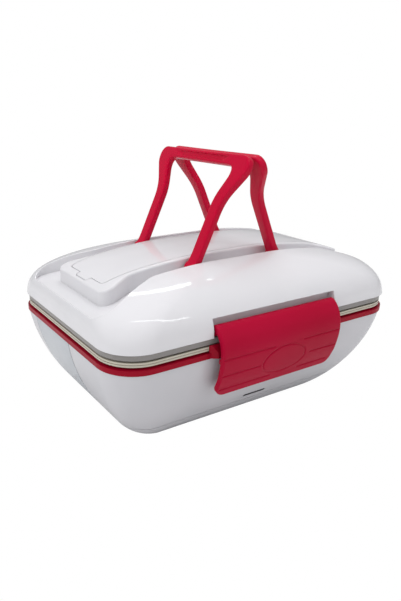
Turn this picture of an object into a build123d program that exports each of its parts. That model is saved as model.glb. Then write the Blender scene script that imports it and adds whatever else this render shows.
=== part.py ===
from build123d import *
from math import cos, hypot, radians, sin
import os

# Electric lunch box. Millimetres, +Z up, X along the long side, the clip in front at -Y.
# The origin is on the table, under the middle of the body.

os.makedirs("parts", exist_ok=True)

# ---------------------------------------------------------------- overall size
length = 235.0
depth = 161.0
corner_radius = 25.0
half_length = length / 2
half_depth = depth / 2

running_gap = 0.3          # between curved faces of pieces that move apart
pin_clearance = 0.05       # radial, at every hinge pin
shadow_gap = 0.2           # around panels and windows let into a wall

# ---------------------------------------------------------------- heights of the seam layers
foot_height = 2.0
bottom_seam_z = 18.0
ring_low_z = 70.5
ring_height = 3.4
ledge_height = 1.2
rim_low_z = 75.4
rim_height = 2.7
band_low_z = 79.3
lid_edge_z = 83.3
lid_rise = 37.2
ring_top_z = ring_low_z + ring_height
ledge_top_z = ring_top_z + ledge_height
rim_top_z = rim_low_z + rim_height
lid_top_z = lid_edge_z + lid_rise

# ---------------------------------------------------------------- base
base_wall = 2.2
bowl_top_z = 75.2
bowl_depth = 82.2          # the base is a bowl whose lowest part is cut flat
bowl_fall = 60.0
bowl_power = 1.71
base_step = 0.3            # the white wall stands this much inside the red ring
corner_share = 0.3         # how fast the corners tighten as the outline shrinks

foot_radius = 6.0
foot_x = half_length - 55.5
foot_y = 25.0

# ---------------------------------------------------------------- heater tub and container
tub_wall = 2.0
tub_top_inset = 9.0
tub_bottom_inset = 34.0
tub_bottom_z = 22.0
ledge_inset = 3.2
container_gap = 0.8
container_wall = 0.8
rim_inset = 1.2
rim_width = 1.8
bead_groove_height = 0.4   # between the two beads of the rim
bead_groove_depth = 0.5
catch_half_width = 54.0
catch_reach = 2.5          # how far the clip catch stands out from the ring
catch_top_z = 79.0
catch_tip = 1.0
catch_taper = 5.0          # length of the wedge at each end of the catch

plate_half_length = half_length - 55.5
plate_half_depth = half_depth - 46.5
plate_thickness = 3.0
plate_corner_radius = 8.0
plate_overlap = 6.0        # how far the plate covers the edge of the tub's window
plate_gap = 0.4            # below the container

heater_length = 42.0
heater_depth = 24.0
heater_thickness = 5.0
heater_pitch = 48.0
clamp_thickness = 1.0
clamp_depth = 18.0
clamp_side_gap = 2.0
clamp_foot = 7.0
clamp_screw_radius = 1.5
clamp_head_radius = 2.5
blind_end = 0.5            # metal left above the clamp screw bores
thermostat_radius = 7.0
thermostat_height = 7.0
thermostat_x = 22.0
thermostat_y = -20.0
fuse_radius = 2.0
fuse_length = 12.0
fuse_x = -20.0
fuse_y = 20.0

# ---------------------------------------------------------------- screws of base and lid
boss_radius = 4.0
screw_radius = 1.5
screw_head_radius = 3.0
screw_head_height = 1.4
base_screw_x = half_length - 55.5
base_screw_y = half_depth - 43.5
tub_boss_length = 7.0
lid_screw_x = half_length - 39.5
lid_screw_y = half_depth - 23.5
lid_screw_length = 13.0

# ---------------------------------------------------------------- power inlet, right end
niche_face_x = half_length - 13.0
niche_half_width = 16.5
niche_low_z = 28.0
niche_high_z = 46.0
inlet_half_width = 14.0
inlet_half_height = 6.0
inlet_z = 36.5
inlet_depth = 10.0
inlet_flange = 1.5
inlet_lip = 1.5            # how far the flange covers the niche face
socket_half_width = 10.0
socket_half_height = 4.0
socket_depth = 8.0
pin_pitch = 8.6
inlet_pin_radius = 1.2
inlet_pin_length = 6.5
terminal_length = 2.5
wire_radius = 0.9
wire_bend = 1.8

# ---------------------------------------------------------------- indicator and end panel
slot_length = 20.0
slot_height = 3.0
slot_z = 24.2
lens_thickness = 2.9
lens_recess = 0.1
board_length = 26.0
board_height = 8.0
board_thickness = 1.6
panel_thickness = 1.2
panel_near_y = -13.0
panel_far_y = 45.0
panel_low_z = 19.5
panel_high_z = 70.8
panel_gap = 0.4            # around the panel
seam_height = 0.6          # shadow line between the shell and the bottom cover
seam_depth = 0.6

# ---------------------------------------------------------------- lid
lid_wall = 2.5
dome_power_x = 3.0
dome_root_x = 2.2
dome_power_y = 2.2
dome_root_y = 2.6
dome_corner_growth = 14.0
dome_corner_limit = 0.85   # largest corner radius, of the half width
dome_levels = (0.0, 0.12, 0.26, 0.4, 0.54, 0.67, 0.78, 0.87, 0.935, 0.975, 0.992, 0.998)

pod_half_length = half_length - 15.1
pod_end_half_width = 34.5
pod_mid_half_width = 27.5
pod_corner_radius = 6.0
pod_bend_radius = 9.0
channel_half_length = half_length - 3.5
channel_end_half_width = 53.0
channel_mid_half_width = 39.5
channel_corner_radius = 8.0
channel_bend_radius = 18.0
pod_flare = (pod_half_length - 23.0, pod_half_length - 8.4)   # where its sides swing out
channel_flare = (channel_half_length - 44.0, channel_half_length - 12.0)
channel_floor_mid_z = 108.3
channel_floor_end_z = 96.0
channel_flat_half_length = half_length - 75.5
pod_edge_radius = 1.5
channel_edge_radius = 0.5

cover_half_length = pod_half_length - 6.0
cover_half_width = 24.2
cover_thickness = 2.0
cover_corner_radius = 3.0
cover_gap = 0.5
cover_swing_room = 1.0     # around the cover's barrel
compartment_half_length = cover_half_length - 3.0
compartment_half_width = cover_half_width - 3.0
compartment_floor_z = 100.0
tab_half_width = 8.0
tab_length = 3.5
tab_corner_radius = 2.0
barrel_radius = 1.6
cover_pin_radius = 0.8
cover_pin_length = 8.0

band_inset = 1.2
liner_plate = 2.4
seal_inset = 5.0
seal_width = 3.0
seal_height = 4.0
seal_groove = 1.2
liner_rim_width = 2.5

spoon_bowl_x = 35.0 - compartment_half_length
spoon_bowl_size = (20.0, 14.0, 6.0)
spoon_thickness = 1.0
spoon_stem_half_width = 4.5
spoon_stem_end_x = compartment_half_length - 14.0
spoon_stem_thickness = 1.5

# ---------------------------------------------------------------- handles
pivot_z = 112.9
handle_lean = 24.8         # degrees inwards from upright, as photographed
crossbar_gap = 2.9         # from mid-length to the middle of a raised crossbar's top
folded_gap = 2.6           # from the end of the channel to the folded crossbar
# Pivot to the top of the crossbar: raised, the two meet; folded, they reach the ends of the channel.
handle_length = (channel_half_length - crossbar_gap - folded_gap) / (1 + sin(radians(handle_lean)))
pivot_x = crossbar_gap + handle_length * sin(radians(handle_lean))
handle_thickness = 5.0
crossbar_width = 7.5
leg_outer_y = 37.5
leg_inner_y = 29.5
top_outer_y = 50.5
top_inner_y = 36.0
leg_bend_s = handle_length - 30.0    # distances up the leg where the contour bends
outer_bend_s = handle_length - 10.0
inner_bend_s = handle_length - 14.0
leg_bend_radius = 30.0
shoulder_radius = 11.0
handle_corner_radius = 6.5
window_corner_radius = 4.0
knuckle_radius = 4.0
handle_edge = 1.2
handle_pin_radius = 1.5

# ---------------------------------------------------------------- clips
clip_half_width = 50.0
clip_thickness = 3.0
clip_pivot_y = half_depth - 2.5
clip_pivot_z = 87.0
clip_barrel_radius = 3.0
clip_pin_radius = 1.0
clip_pin_overhang = 3.0
clip_corner_radius = 7.0
clip_rib_height = 3.0
clip_rib_z = 68.5
clip_low_z = 43.0
clip_top_z = 91.5
# The outside of the clip from its top edge to its lower edge: (distance out from the body's side, height).
clip_outside = [
    (-3.0, 91.0),
    (0.0, 90.4),
    (3.1, 88.0),
    (6.5, 83.0),
    (8.3, 77.0),
    (8.7, 71.5),
    (8.1, 65.0),
    (6.1, 56.0),
    (3.5, 49.5),
    (1.7, 43.5),
]
clip_rib_reach = half_depth + 2.9      # inner edge of the rib, just outside the catch
recess_side_gap = 1.2
recess_floor_y = half_depth - 6.9
recess_top_z = 95.0


def base_inset(z):
    """How far the outside of the base stands inside the overall outline at a height."""
    t = (bowl_top_z - z) / bowl_depth
    return bowl_fall * (1 - (1 - t**bowl_power) ** (1 / bowl_power)) + base_step


def tub_inset(z):
    """Inset of the outside of the tub, a straight taper."""
    share = (ring_low_z - z) / (ring_low_z - tub_bottom_z)
    return tub_top_inset + share * (tub_bottom_inset - tub_top_inset)


def tapered_solid(levels):
    """A loft through rounded rectangles, one for each (height, inset)."""
    with BuildPart() as body:
        for z, inset in levels:
            with BuildSketch(Plane.XY.offset(z)):
                RectangleRounded(length - 2 * inset, depth - 2 * inset, corner_radius - corner_share * inset)
        loft(ruled=len(levels) == 2)
    return body.part


def rounded_block(low_z, high_z, inset):
    """An upright block with the overall outline, drawn in by inset."""
    with BuildPart() as body:
        with BuildSketch(Plane.XY.offset(low_z)):
            RectangleRounded(length - 2 * inset, depth - 2 * inset, corner_radius - corner_share * inset)
        extrude(amount=high_z - low_z)
    return body.part


def box_between(x_range, y_range, z_range):
    """A plain block between two corners."""
    size = [abs(pair[1] - pair[0]) for pair in (x_range, y_range, z_range)]
    middle = [(pair[0] + pair[1]) / 2 for pair in (x_range, y_range, z_range)]
    return Pos(*middle) * Box(*size, mode=Mode.PRIVATE)


def dome_solid(drop):
    """The lid's outer form, or the same form drawn in and lowered by drop."""
    with BuildPart() as body:
        for u in dome_levels:
            half_x = half_length * (1 - u**dome_power_x) ** (1 / dome_root_x) - drop
            half_y = half_depth * (1 - u**dome_power_y) ** (1 / dome_root_y) - drop
            radius = min(corner_radius + dome_corner_growth * u, dome_corner_limit * half_y)
            with BuildSketch(Plane.XY.offset(lid_edge_z + lid_rise * u - (drop if u else 0))):
                RectangleRounded(2 * half_x, 2 * half_y, radius)
        loft()
    return body.part


def channel_floor(x):
    """Height of the channel's floor: flat at mid-length and falling to both ends."""
    fall = (channel_floor_mid_z - channel_floor_end_z) / (channel_half_length - channel_flat_half_length)
    return channel_floor_mid_z - fall * max(abs(x) - channel_flat_half_length, 0)


def above_floor(drop):
    """Everything above the floor of the lid's channel, or above the same floor lowered by drop."""
    end_z = channel_floor(half_length) - drop
    mid_z = channel_floor_mid_z - drop
    with BuildPart() as body:
        with BuildSketch(Plane.XZ):
            with BuildLine():
                Polyline(
                    (-half_length, end_z),
                    (-channel_flat_half_length, mid_z),
                    (channel_flat_half_length, mid_z),
                    (half_length, end_z),
                    (half_length, lid_top_z + 1),
                    (-half_length, lid_top_z + 1),
                    close=True,
                )
            make_face()
        extrude(amount=half_depth, both=True)
    return body.part


def is_on_pod(point):
    """True for a point of the pod's own outline, false for one of the channel's outer wall."""
    return abs(point.X) < pod_half_length + lid_wall and abs(point.Y) < pod_end_half_width + lid_wall


def upright(outline):
    """A plan outline pulled up through the whole height of the lid."""
    return Pos(0, 0, lid_edge_z) * extrude(outline, amount=lid_rise + 1, mode=Mode.PRIVATE)


def cover_outline(margin=0.0):
    """Plan of the spoon cover with its finger tab."""
    with BuildSketch() as outline:
        RectangleRounded(
            2 * (cover_half_length + margin),
            2 * (cover_half_width + margin),
            cover_corner_radius + margin,
        )
        with Locations((-cover_half_length, 0)):
            RectangleRounded(
                2 * (tab_length + margin),
                2 * (tab_half_width + margin),
                tab_corner_radius + margin,
            )
    return outline.sketch


def rod(radius, start, end):
    """A round rod between two points."""
    axis = Vector(*end) - Vector(*start)
    on_end = (Align.CENTER, Align.CENTER, Align.MIN)
    return Plane(origin=start, z_dir=axis) * Cylinder(radius, axis.length, align=on_end, mode=Mode.PRIVATE)


def wire(*points):
    """An insulated wire with rounded bends."""
    with BuildPart() as body:
        with BuildLine() as path:
            FilletPolyline(*points, radius=wire_bend)
        with BuildSketch(Plane(origin=path.line @ 0, z_dir=path.line % 0)):
            Circle(wire_radius)
        sweep(path=path.line)
    return body.part


def waisted_outline(half_x, end_y, mid_y, flare, corner, bend, margin=0.0):
    """Outline of the pod or of the channel: wide at its ends and narrow at mid-length."""
    x = half_x + margin
    wide = end_y + margin
    narrow = mid_y + margin
    corners = [(x, wide), (flare[1], wide), (flare[0], narrow)]
    half = corners + [(-px, py) for px, py in reversed(corners)]
    with BuildSketch() as outline:
        with BuildLine():
            Polyline(*half, *[(px, -py) for px, py in reversed(half)], close=True)
        make_face()
        fillet(outline.vertices().filter_by(lambda v: abs(v.X) < x - corner), bend)
        fillet(outline.vertices().filter_by(lambda v: abs(v.X) > x - corner), corner + margin)
    return outline.sketch


# ================================================================ base

# Heights of the sections that the bowl is lofted through.
base_levels = [bottom_seam_z, 26.0, 36.0, 48.0, 60.0, ring_low_z]
cover_levels = [foot_height, 4.0, 8.0, 13.0, bottom_seam_z]
cover_hollow_levels = [foot_height + base_wall, 6.0, 9.0, 13.0, bottom_seam_z]
shell_outside = tapered_solid([(z, base_inset(z)) for z in base_levels])
shell_inside = tapered_solid([(z, base_inset(z) + base_wall) for z in base_levels])

slot_y = -(half_depth - base_inset(slot_z))
slope = base_inset(slot_z - 1) - base_inset(slot_z + 1)
slot_normal = Vector(0, -2, -slope).normalized()
slot_plane = Plane(origin=(0, slot_y, slot_z), x_dir=(1, 0, 0), z_dir=slot_normal)

niche = box_between((niche_face_x, half_length), (-niche_half_width, niche_half_width), (niche_low_z, niche_high_z))
niche_back = box_between(
    (niche_face_x - base_wall, half_length),
    (-niche_half_width - base_wall, niche_half_width + base_wall),
    (niche_low_z - base_wall, niche_high_z + base_wall),
)
panel_zone = box_between((-half_length, 0), (panel_near_y, panel_far_y), (panel_low_z, panel_high_z))
panel_pocket_zone = box_between(
    (-half_length, 0),
    (panel_near_y - panel_gap, panel_far_y + panel_gap),
    (panel_low_z - panel_gap, panel_high_z + panel_gap),
)
seam_levels = [bottom_seam_z, bottom_seam_z + seam_height]
seam_ring = tapered_solid([(z, base_inset(z) - seam_depth) for z in seam_levels]) - tapered_solid(
    [(z, base_inset(z) + seam_depth) for z in seam_levels]
)
below_pocket = tapered_solid([(z, base_inset(z) + panel_thickness) for z in base_levels])

with BuildPart() as base_shell:
    add(shell_outside)
    add(shell_inside, mode=Mode.SUBTRACT)
    add(niche_back & shell_outside)
    add(niche, mode=Mode.SUBTRACT)
    add(panel_pocket_zone - below_pocket, mode=Mode.SUBTRACT)
    add(seam_ring, mode=Mode.SUBTRACT)
    with BuildSketch(Plane(origin=(0, 0, inlet_z), z_dir=(1, 0, 0), x_dir=(0, 1, 0))):
        Rectangle(2 * (inlet_half_width + shadow_gap), 2 * (inlet_half_height + shadow_gap))
    extrude(amount=half_length, mode=Mode.SUBTRACT)
    with BuildSketch(slot_plane):
        SlotOverall(slot_length, slot_height)
    extrude(amount=2 * base_wall, both=True, mode=Mode.SUBTRACT)
base_shell.part.label = "base_shell"
export_step(base_shell.part, "parts/base_shell.step")

with BuildPart() as end_panel:
    add(shell_outside & panel_zone)
    add(below_pocket, mode=Mode.SUBTRACT)
end_panel.part.label = "end_panel"
export_step(end_panel.part, "parts/end_panel.step")

boss_top_z = tub_bottom_z - tub_boss_length
screw_sink = 4.6           # how deep the screw heads lie in the bottom cover
bottom_face = Plane(origin=(0, 0, foot_height), z_dir=(0, 0, -1))

with BuildPart() as bottom_cover:
    add(tapered_solid([(z, base_inset(z)) for z in cover_levels]))
    hollow = [(z, base_inset(z - base_wall) + base_wall) for z in cover_hollow_levels]
    add(tapered_solid(hollow), mode=Mode.SUBTRACT)
    with BuildSketch(Plane.XY.offset(foot_height)):
        with GridLocations(2 * base_screw_x, 2 * base_screw_y, 2, 2):
            Circle(screw_head_radius + base_wall)
    extrude(amount=boss_top_z - foot_height)
    with Locations(bottom_face):
        with GridLocations(2 * base_screw_x, 2 * base_screw_y, 2, 2):
            CounterBoreHole(screw_radius + shadow_gap, screw_head_radius + shadow_gap, screw_sink + screw_head_height)
bottom_cover.part.label = "bottom_cover"
export_step(bottom_cover.part, "parts/bottom_cover.step")

with BuildPart() as feet:
    with BuildSketch():
        with GridLocations(2 * foot_x, 2 * foot_y, 2, 2):
            Circle(foot_radius)
    extrude(amount=foot_height)
    chamfer(feet.edges().group_by(Axis.Z)[0], foot_height / 4)
feet.part.label = "feet"
export_step(feet.part, "parts/feet.step")

with BuildPart() as bottom_screws:
    head_z = foot_height + screw_sink
    with BuildSketch(Plane.XY.offset(head_z)):
        with GridLocations(2 * base_screw_x, 2 * base_screw_y, 2, 2):
            Circle(screw_head_radius)
    extrude(amount=screw_head_height)
    with BuildSketch(Plane.XY.offset(head_z + screw_head_height)):
        with GridLocations(2 * base_screw_x, 2 * base_screw_y, 2, 2):
            Circle(screw_radius)
    extrude(amount=tub_bottom_z - tub_wall / 2 - head_z - screw_head_height)
bottom_screws.part.label = "bottom_screws"
export_step(bottom_screws.part, "parts/bottom_screws.step")

# ================================================================ heater tub and what it carries

plate_low_z = tub_bottom_z + tub_wall
catch_inner_y = half_depth - rim_inset + running_gap
catch_outer_y = half_depth + catch_reach
catch_profile = [
    (-catch_inner_y, ring_low_z),
    (-catch_outer_y, ring_low_z),
    (-catch_outer_y, ring_top_z),
    (-catch_inner_y - catch_tip, catch_top_z),
    (-catch_inner_y, catch_top_z),
]

with BuildPart() as catches:
    with BuildSketch(Plane.YZ):
        with BuildLine():
            Polyline(*catch_profile, close=True)
        make_face()
        mirror(about=Plane.YZ)
    extrude(amount=catch_half_width, both=True)
    with BuildSketch(Plane.XY.offset(ring_low_z)):
        with BuildLine():
            Polyline(
                (-catch_half_width, -catch_inner_y),
                (catch_taper - catch_half_width, -catch_outer_y),
                (catch_half_width - catch_taper, -catch_outer_y),
                (catch_half_width, -catch_inner_y),
                (catch_half_width, catch_inner_y),
                (catch_half_width - catch_taper, catch_outer_y),
                (catch_taper - catch_half_width, catch_outer_y),
                (-catch_half_width, catch_inner_y),
                close=True,
            )
        make_face()
    extrude(amount=catch_top_z - ring_low_z, mode=Mode.INTERSECT)

with BuildPart() as heater_tub:
    add(rounded_block(ring_low_z, ring_top_z, 0))
    add(rounded_block(ring_top_z, ledge_top_z, ledge_inset))
    add(tapered_solid([(tub_bottom_z, tub_bottom_inset), (ring_low_z, tub_top_inset)]))
    hollow = [(z, tub_inset(z) + tub_wall) for z in (plate_low_z, ledge_top_z)]
    add(tapered_solid(hollow), mode=Mode.SUBTRACT)
    with BuildSketch(Plane.XY.offset(tub_bottom_z)):
        Rectangle(2 * (plate_half_length - plate_overlap), 2 * (plate_half_depth - plate_overlap))
    extrude(amount=tub_wall, mode=Mode.SUBTRACT)
    with BuildSketch(Plane.XY.offset(boss_top_z)):
        with GridLocations(2 * base_screw_x, 2 * base_screw_y, 2, 2):
            Circle(boss_radius)
    extrude(amount=tub_boss_length)
    with BuildSketch(Plane.XY.offset(boss_top_z)):
        with GridLocations(2 * base_screw_x, 2 * base_screw_y, 2, 2):
            Circle(screw_radius)
    extrude(amount=tub_boss_length - tub_wall / 2, mode=Mode.SUBTRACT)
    add(catches.part)
heater_tub.part.label = "heater_tub"
export_step(heater_tub.part, "parts/heater_tub.step")

clamp_web_z = plate_low_z - heater_thickness - clamp_thickness
clamp_half = (heater_pitch + heater_length) / 2 + clamp_side_gap
clamp_screw_x = clamp_half + clamp_thickness + clamp_foot / 2
clamp_points = [
    (0, clamp_web_z),
    (clamp_half + clamp_thickness, clamp_web_z),
    (clamp_half + clamp_thickness, plate_low_z - clamp_thickness),
    (clamp_half + clamp_thickness + clamp_foot, plate_low_z - clamp_thickness),
    (clamp_half + clamp_thickness + clamp_foot, plate_low_z),
    (clamp_half, plate_low_z),
    (clamp_half, clamp_web_z + clamp_thickness),
    (0, clamp_web_z + clamp_thickness),
]

with BuildPart() as heating_plate:
    with BuildSketch(Plane.XY.offset(plate_low_z)):
        RectangleRounded(2 * plate_half_length, 2 * plate_half_depth, plate_corner_radius)
    extrude(amount=plate_thickness)
    with BuildSketch(Plane.XY.offset(plate_low_z)):
        with GridLocations(2 * clamp_screw_x, 1, 2, 1):
            Circle(clamp_screw_radius)
    extrude(amount=plate_thickness - blind_end, mode=Mode.SUBTRACT)
heating_plate.part.label = "heating_plate"
export_step(heating_plate.part, "parts/heating_plate.step")

with BuildPart() as ptc_heaters:
    with BuildSketch(Plane.XY.offset(plate_low_z - heater_thickness)):
        with GridLocations(heater_pitch, 1, 2, 1):
            Rectangle(heater_length, heater_depth)
    extrude(amount=heater_thickness)
ptc_heaters.part.label = "ptc_heaters"
export_step(ptc_heaters.part, "parts/ptc_heaters.step")

with BuildPart() as heater_clamp:
    with BuildSketch(Plane.XZ):
        with BuildLine():
            Polyline(*clamp_points, close=True)
        make_face()
        mirror(about=Plane.YZ)
    extrude(amount=clamp_depth / 2, both=True)
    with BuildSketch(Plane.XY.offset(plate_low_z - clamp_thickness)):
        with GridLocations(2 * clamp_screw_x, 1, 2, 1):
            Circle(clamp_screw_radius)
    extrude(amount=clamp_thickness, mode=Mode.SUBTRACT)
heater_clamp.part.label = "heater_clamp"
export_step(heater_clamp.part, "parts/heater_clamp.step")

with BuildPart() as clamp_screws:
    with BuildSketch(Plane.XY.offset(plate_low_z - clamp_thickness - screw_head_height)):
        with GridLocations(2 * clamp_screw_x, 1, 2, 1):
            Circle(clamp_head_radius)
    extrude(amount=screw_head_height)
    with BuildSketch(Plane.XY.offset(plate_low_z - clamp_thickness)):
        with GridLocations(2 * clamp_screw_x, 1, 2, 1):
            Circle(clamp_screw_radius)
    extrude(amount=clamp_thickness + plate_thickness - blind_end)
clamp_screws.part.label = "clamp_screws"
export_step(clamp_screws.part, "parts/clamp_screws.step")

with BuildPart() as thermostat:
    with BuildSketch(Plane.XY.offset(plate_low_z - thermostat_height)):
        with Locations((thermostat_x, thermostat_y)):
            Circle(thermostat_radius)
    extrude(amount=thermostat_height)
thermostat.part.label = "thermostat"
export_step(thermostat.part, "parts/thermostat.step")

with BuildPart() as thermal_fuse:
    with Locations((fuse_x, fuse_y, plate_low_z - fuse_radius)):
        Cylinder(fuse_radius, fuse_length, rotation=(0, 90, 0))
thermal_fuse.part.label = "thermal_fuse"
export_step(thermal_fuse.part, "parts/thermal_fuse.step")

# ================================================================ power inlet, indicator and wires

socket_face_x = niche_face_x + inlet_flange
terminal_x = niche_face_x - inlet_depth - terminal_length
inlet_z_range = (inlet_z - inlet_half_height, inlet_z + inlet_half_height)
flange_z_range = (inlet_z_range[0] - inlet_lip, inlet_z_range[1] + inlet_lip)
lip_half_width = inlet_half_width + inlet_lip

with BuildPart() as power_inlet:
    add(box_between(
        (niche_face_x - inlet_depth, niche_face_x),
        (-inlet_half_width, inlet_half_width),
        inlet_z_range,
    ))
    add(box_between((niche_face_x, socket_face_x), (-lip_half_width, lip_half_width), flange_z_range))
    with BuildSketch(Plane(origin=(socket_face_x, 0, inlet_z), x_dir=(0, 1, 0), z_dir=(1, 0, 0))):
        RectangleRounded(2 * socket_half_width, 2 * socket_half_height, socket_half_height / 2)
    extrude(amount=-socket_depth, mode=Mode.SUBTRACT)
    for y in (-pin_pitch / 2, pin_pitch / 2):
        add(rod(inlet_pin_radius, (terminal_x, y, inlet_z), (socket_face_x, y, inlet_z)), mode=Mode.SUBTRACT)
power_inlet.part.label = "power_inlet"
export_step(power_inlet.part, "parts/power_inlet.step")

with BuildPart() as inlet_pins:
    pin_end_x = socket_face_x - socket_depth + inlet_pin_length
    for y in (-pin_pitch / 2, pin_pitch / 2):
        add(rod(inlet_pin_radius, (terminal_x, y, inlet_z), (pin_end_x, y, inlet_z)))
inlet_pins.part.label = "inlet_pins"
export_step(inlet_pins.part, "parts/inlet_pins.step")

with BuildPart() as indicator_lens:
    with BuildSketch(slot_plane.offset(-lens_recess)):
        SlotOverall(slot_length - 2 * shadow_gap, slot_height - 2 * shadow_gap)
    extrude(amount=-lens_thickness)
indicator_lens.part.label = "indicator_lens"
export_step(indicator_lens.part, "parts/indicator_lens.step")

board_plane = slot_plane.offset(-lens_recess - lens_thickness)

with BuildPart() as indicator_board:
    with BuildSketch(board_plane):
        Rectangle(board_length, board_height)
    extrude(amount=-board_thickness)
indicator_board.part.label = "indicator_board"
export_step(indicator_board.part, "parts/indicator_board.step")

wire_low_z = 11.0          # height of the wires above the floor of the bottom cover
wire_side_x = half_length - 30.5         # where the wires pass between tub and bottom cover
wire_side_z = 15.0
terminal_mid_x = terminal_x + terminal_length / 2
terminal_low_z = inlet_z - inlet_pin_radius
drop_z = 29.0
heater_mid_z = plate_low_z - heater_thickness / 2
heater_side_y = heater_depth / 2
board_back = board_plane.offset(-board_thickness).origin
board_lead = board_back - slot_normal * board_height / 2
thermostat_low_z = plate_low_z - thermostat_height
fuse_z = plate_low_z - fuse_radius
link_x = 10.0              # the links enter the heater blocks this far from their near ends

with BuildPart() as mains_wires:
    add(wire(
        (terminal_mid_x, -pin_pitch / 2, terminal_low_z),
        (terminal_mid_x, -pin_pitch / 2, drop_z),
        (wire_side_x, -pin_pitch / 2, wire_side_z),
        (base_screw_x, thermostat_y, wire_low_z),
        (thermostat_x, thermostat_y, wire_low_z),
        (thermostat_x, thermostat_y, thermostat_low_z),
    ))
    add(wire(
        (terminal_mid_x, pin_pitch / 2, terminal_low_z),
        (terminal_mid_x, pin_pitch / 2, drop_z),
        (wire_side_x, pin_pitch / 2, wire_side_z),
        (base_screw_x, fuse_y, wire_low_z),
        (0, fuse_y, wire_low_z),
        (0, fuse_y, fuse_z),
        (fuse_x + fuse_length / 2, fuse_y, fuse_z),
    ))
    add(wire(
        (fuse_x - fuse_length / 2, fuse_y, fuse_z),
        (fuse_x - fuse_length / 2 - link_x, fuse_y, fuse_z),
        (fuse_x - fuse_length / 2 - link_x, heater_side_y, fuse_z),
    ))
    add(wire(
        (thermostat_x + thermostat_radius, thermostat_y, heater_mid_z),
        (thermostat_x + thermostat_radius + link_x, thermostat_y, heater_mid_z),
        (thermostat_x + thermostat_radius + link_x, -heater_side_y, heater_mid_z),
    ))
    for side in (-1, 1):
        add(wire(
            (side * link_x / 2, board_back.Y, board_back.Z),
            (side * link_x / 2, board_lead.Y, board_lead.Z),
            (side * link_x / 2, board_back.Y + board_height, wire_side_z),
            (side * link_x, -heater_side_y - board_height, wire_side_z),
            (side * link_x, -heater_side_y - board_height / 2, heater_mid_z),
            (side * link_x, -heater_side_y, heater_mid_z),
        ))
mains_wires.part.label = "mains_wires"
export_step(mains_wires.part, "parts/mains_wires.step")

# ================================================================ food container

pan_low_z = plate_low_z + plate_thickness + plate_gap
flange_low_z = ledge_top_z + running_gap
flange_top_z = flange_low_z + container_wall
pan_outside = tub_wall + container_gap
pan_inside = pan_outside + container_wall
pan_floor_z = pan_low_z + container_wall
bead_groove_low_z = rim_low_z + (rim_height - bead_groove_height) / 2
bead_groove_z = (bead_groove_low_z, bead_groove_low_z + bead_groove_height)

with BuildPart() as food_container:
    add(tapered_solid([(z, tub_inset(z) + pan_outside) for z in (pan_low_z, flange_top_z)]))
    add(rounded_block(flange_low_z, flange_top_z, rim_inset))
    add(rounded_block(rim_low_z, rim_top_z, rim_inset) - rounded_block(rim_low_z, rim_top_z, rim_inset + rim_width))
    add(rounded_block(*bead_groove_z, rim_inset) - rounded_block(*bead_groove_z, rim_inset + bead_groove_depth),
        mode=Mode.SUBTRACT)
    add(tapered_solid([(z, tub_inset(z) + pan_inside) for z in (pan_floor_z, rim_top_z)]), mode=Mode.SUBTRACT)
food_container.part.label = "food_container"
export_step(food_container.part, "parts/food_container.step")

# ================================================================ lid

barrel_x = cover_half_length - barrel_radius
barrel_u = (1 - (barrel_x / half_length) ** dome_root_x) ** (1 / dome_power_x)
barrel_z = lid_edge_z + lid_rise * barrel_u - barrel_radius - shadow_gap
barrel_room = barrel_radius + cover_swing_room
cover_pin_y = cover_half_width - cover_pin_length / 2
handle_pin_y = (pod_mid_half_width - lid_wall / 2, channel_mid_half_width + lid_wall / 2)
clip_pin_x = clip_half_width + clip_pin_overhang
recess_half_width = clip_half_width + recess_side_gap
boss_low_z = band_low_z + liner_plate
lid_screw_top_z = band_low_z + lid_screw_length

dome = dome_solid(0)
recess = box_between(
    (-recess_half_width, recess_half_width),
    (-half_depth, -recess_floor_y),
    (lid_edge_z, recess_top_z),
)
recess_back = box_between(
    (-recess_half_width - lid_wall, recess_half_width + lid_wall),
    (-half_depth, -recess_floor_y + lid_wall),
    (lid_edge_z, recess_top_z + lid_wall),
)
compartment = box_between(
    (-compartment_half_length, compartment_half_length),
    (-compartment_half_width, compartment_half_width),
    (compartment_floor_z, lid_top_z),
)
compartment_back = box_between(
    (-compartment_half_length - lid_wall, compartment_half_length + lid_wall),
    (-compartment_half_width - lid_wall, compartment_half_width + lid_wall),
    (compartment_floor_z - lid_wall, lid_top_z),
)
pod_rounding = (pod_flare, pod_corner_radius, pod_bend_radius)
channel_rounding = (channel_flare, channel_corner_radius, channel_bend_radius)
channel_size = (channel_half_length, channel_end_half_width, channel_mid_half_width)
pod = waisted_outline(pod_half_length, pod_end_half_width, pod_mid_half_width, *pod_rounding)
channel = waisted_outline(*channel_size, *channel_rounding)
channel_back = waisted_outline(*channel_size, *channel_rounding, lid_wall)
lid_bosses = GridLocations(2 * lid_screw_x, 2 * lid_screw_y, 2, 2) * Circle(boss_radius)
lid_void = dome_solid(lid_wall) - (upright(channel_back) & above_floor(lid_wall)) - compartment_back
lid_void = lid_void - recess_back - mirror(recess_back, about=Plane.XZ)
for boss in lid_bosses:
    lid_void = lid_void - upright(boss)

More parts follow.
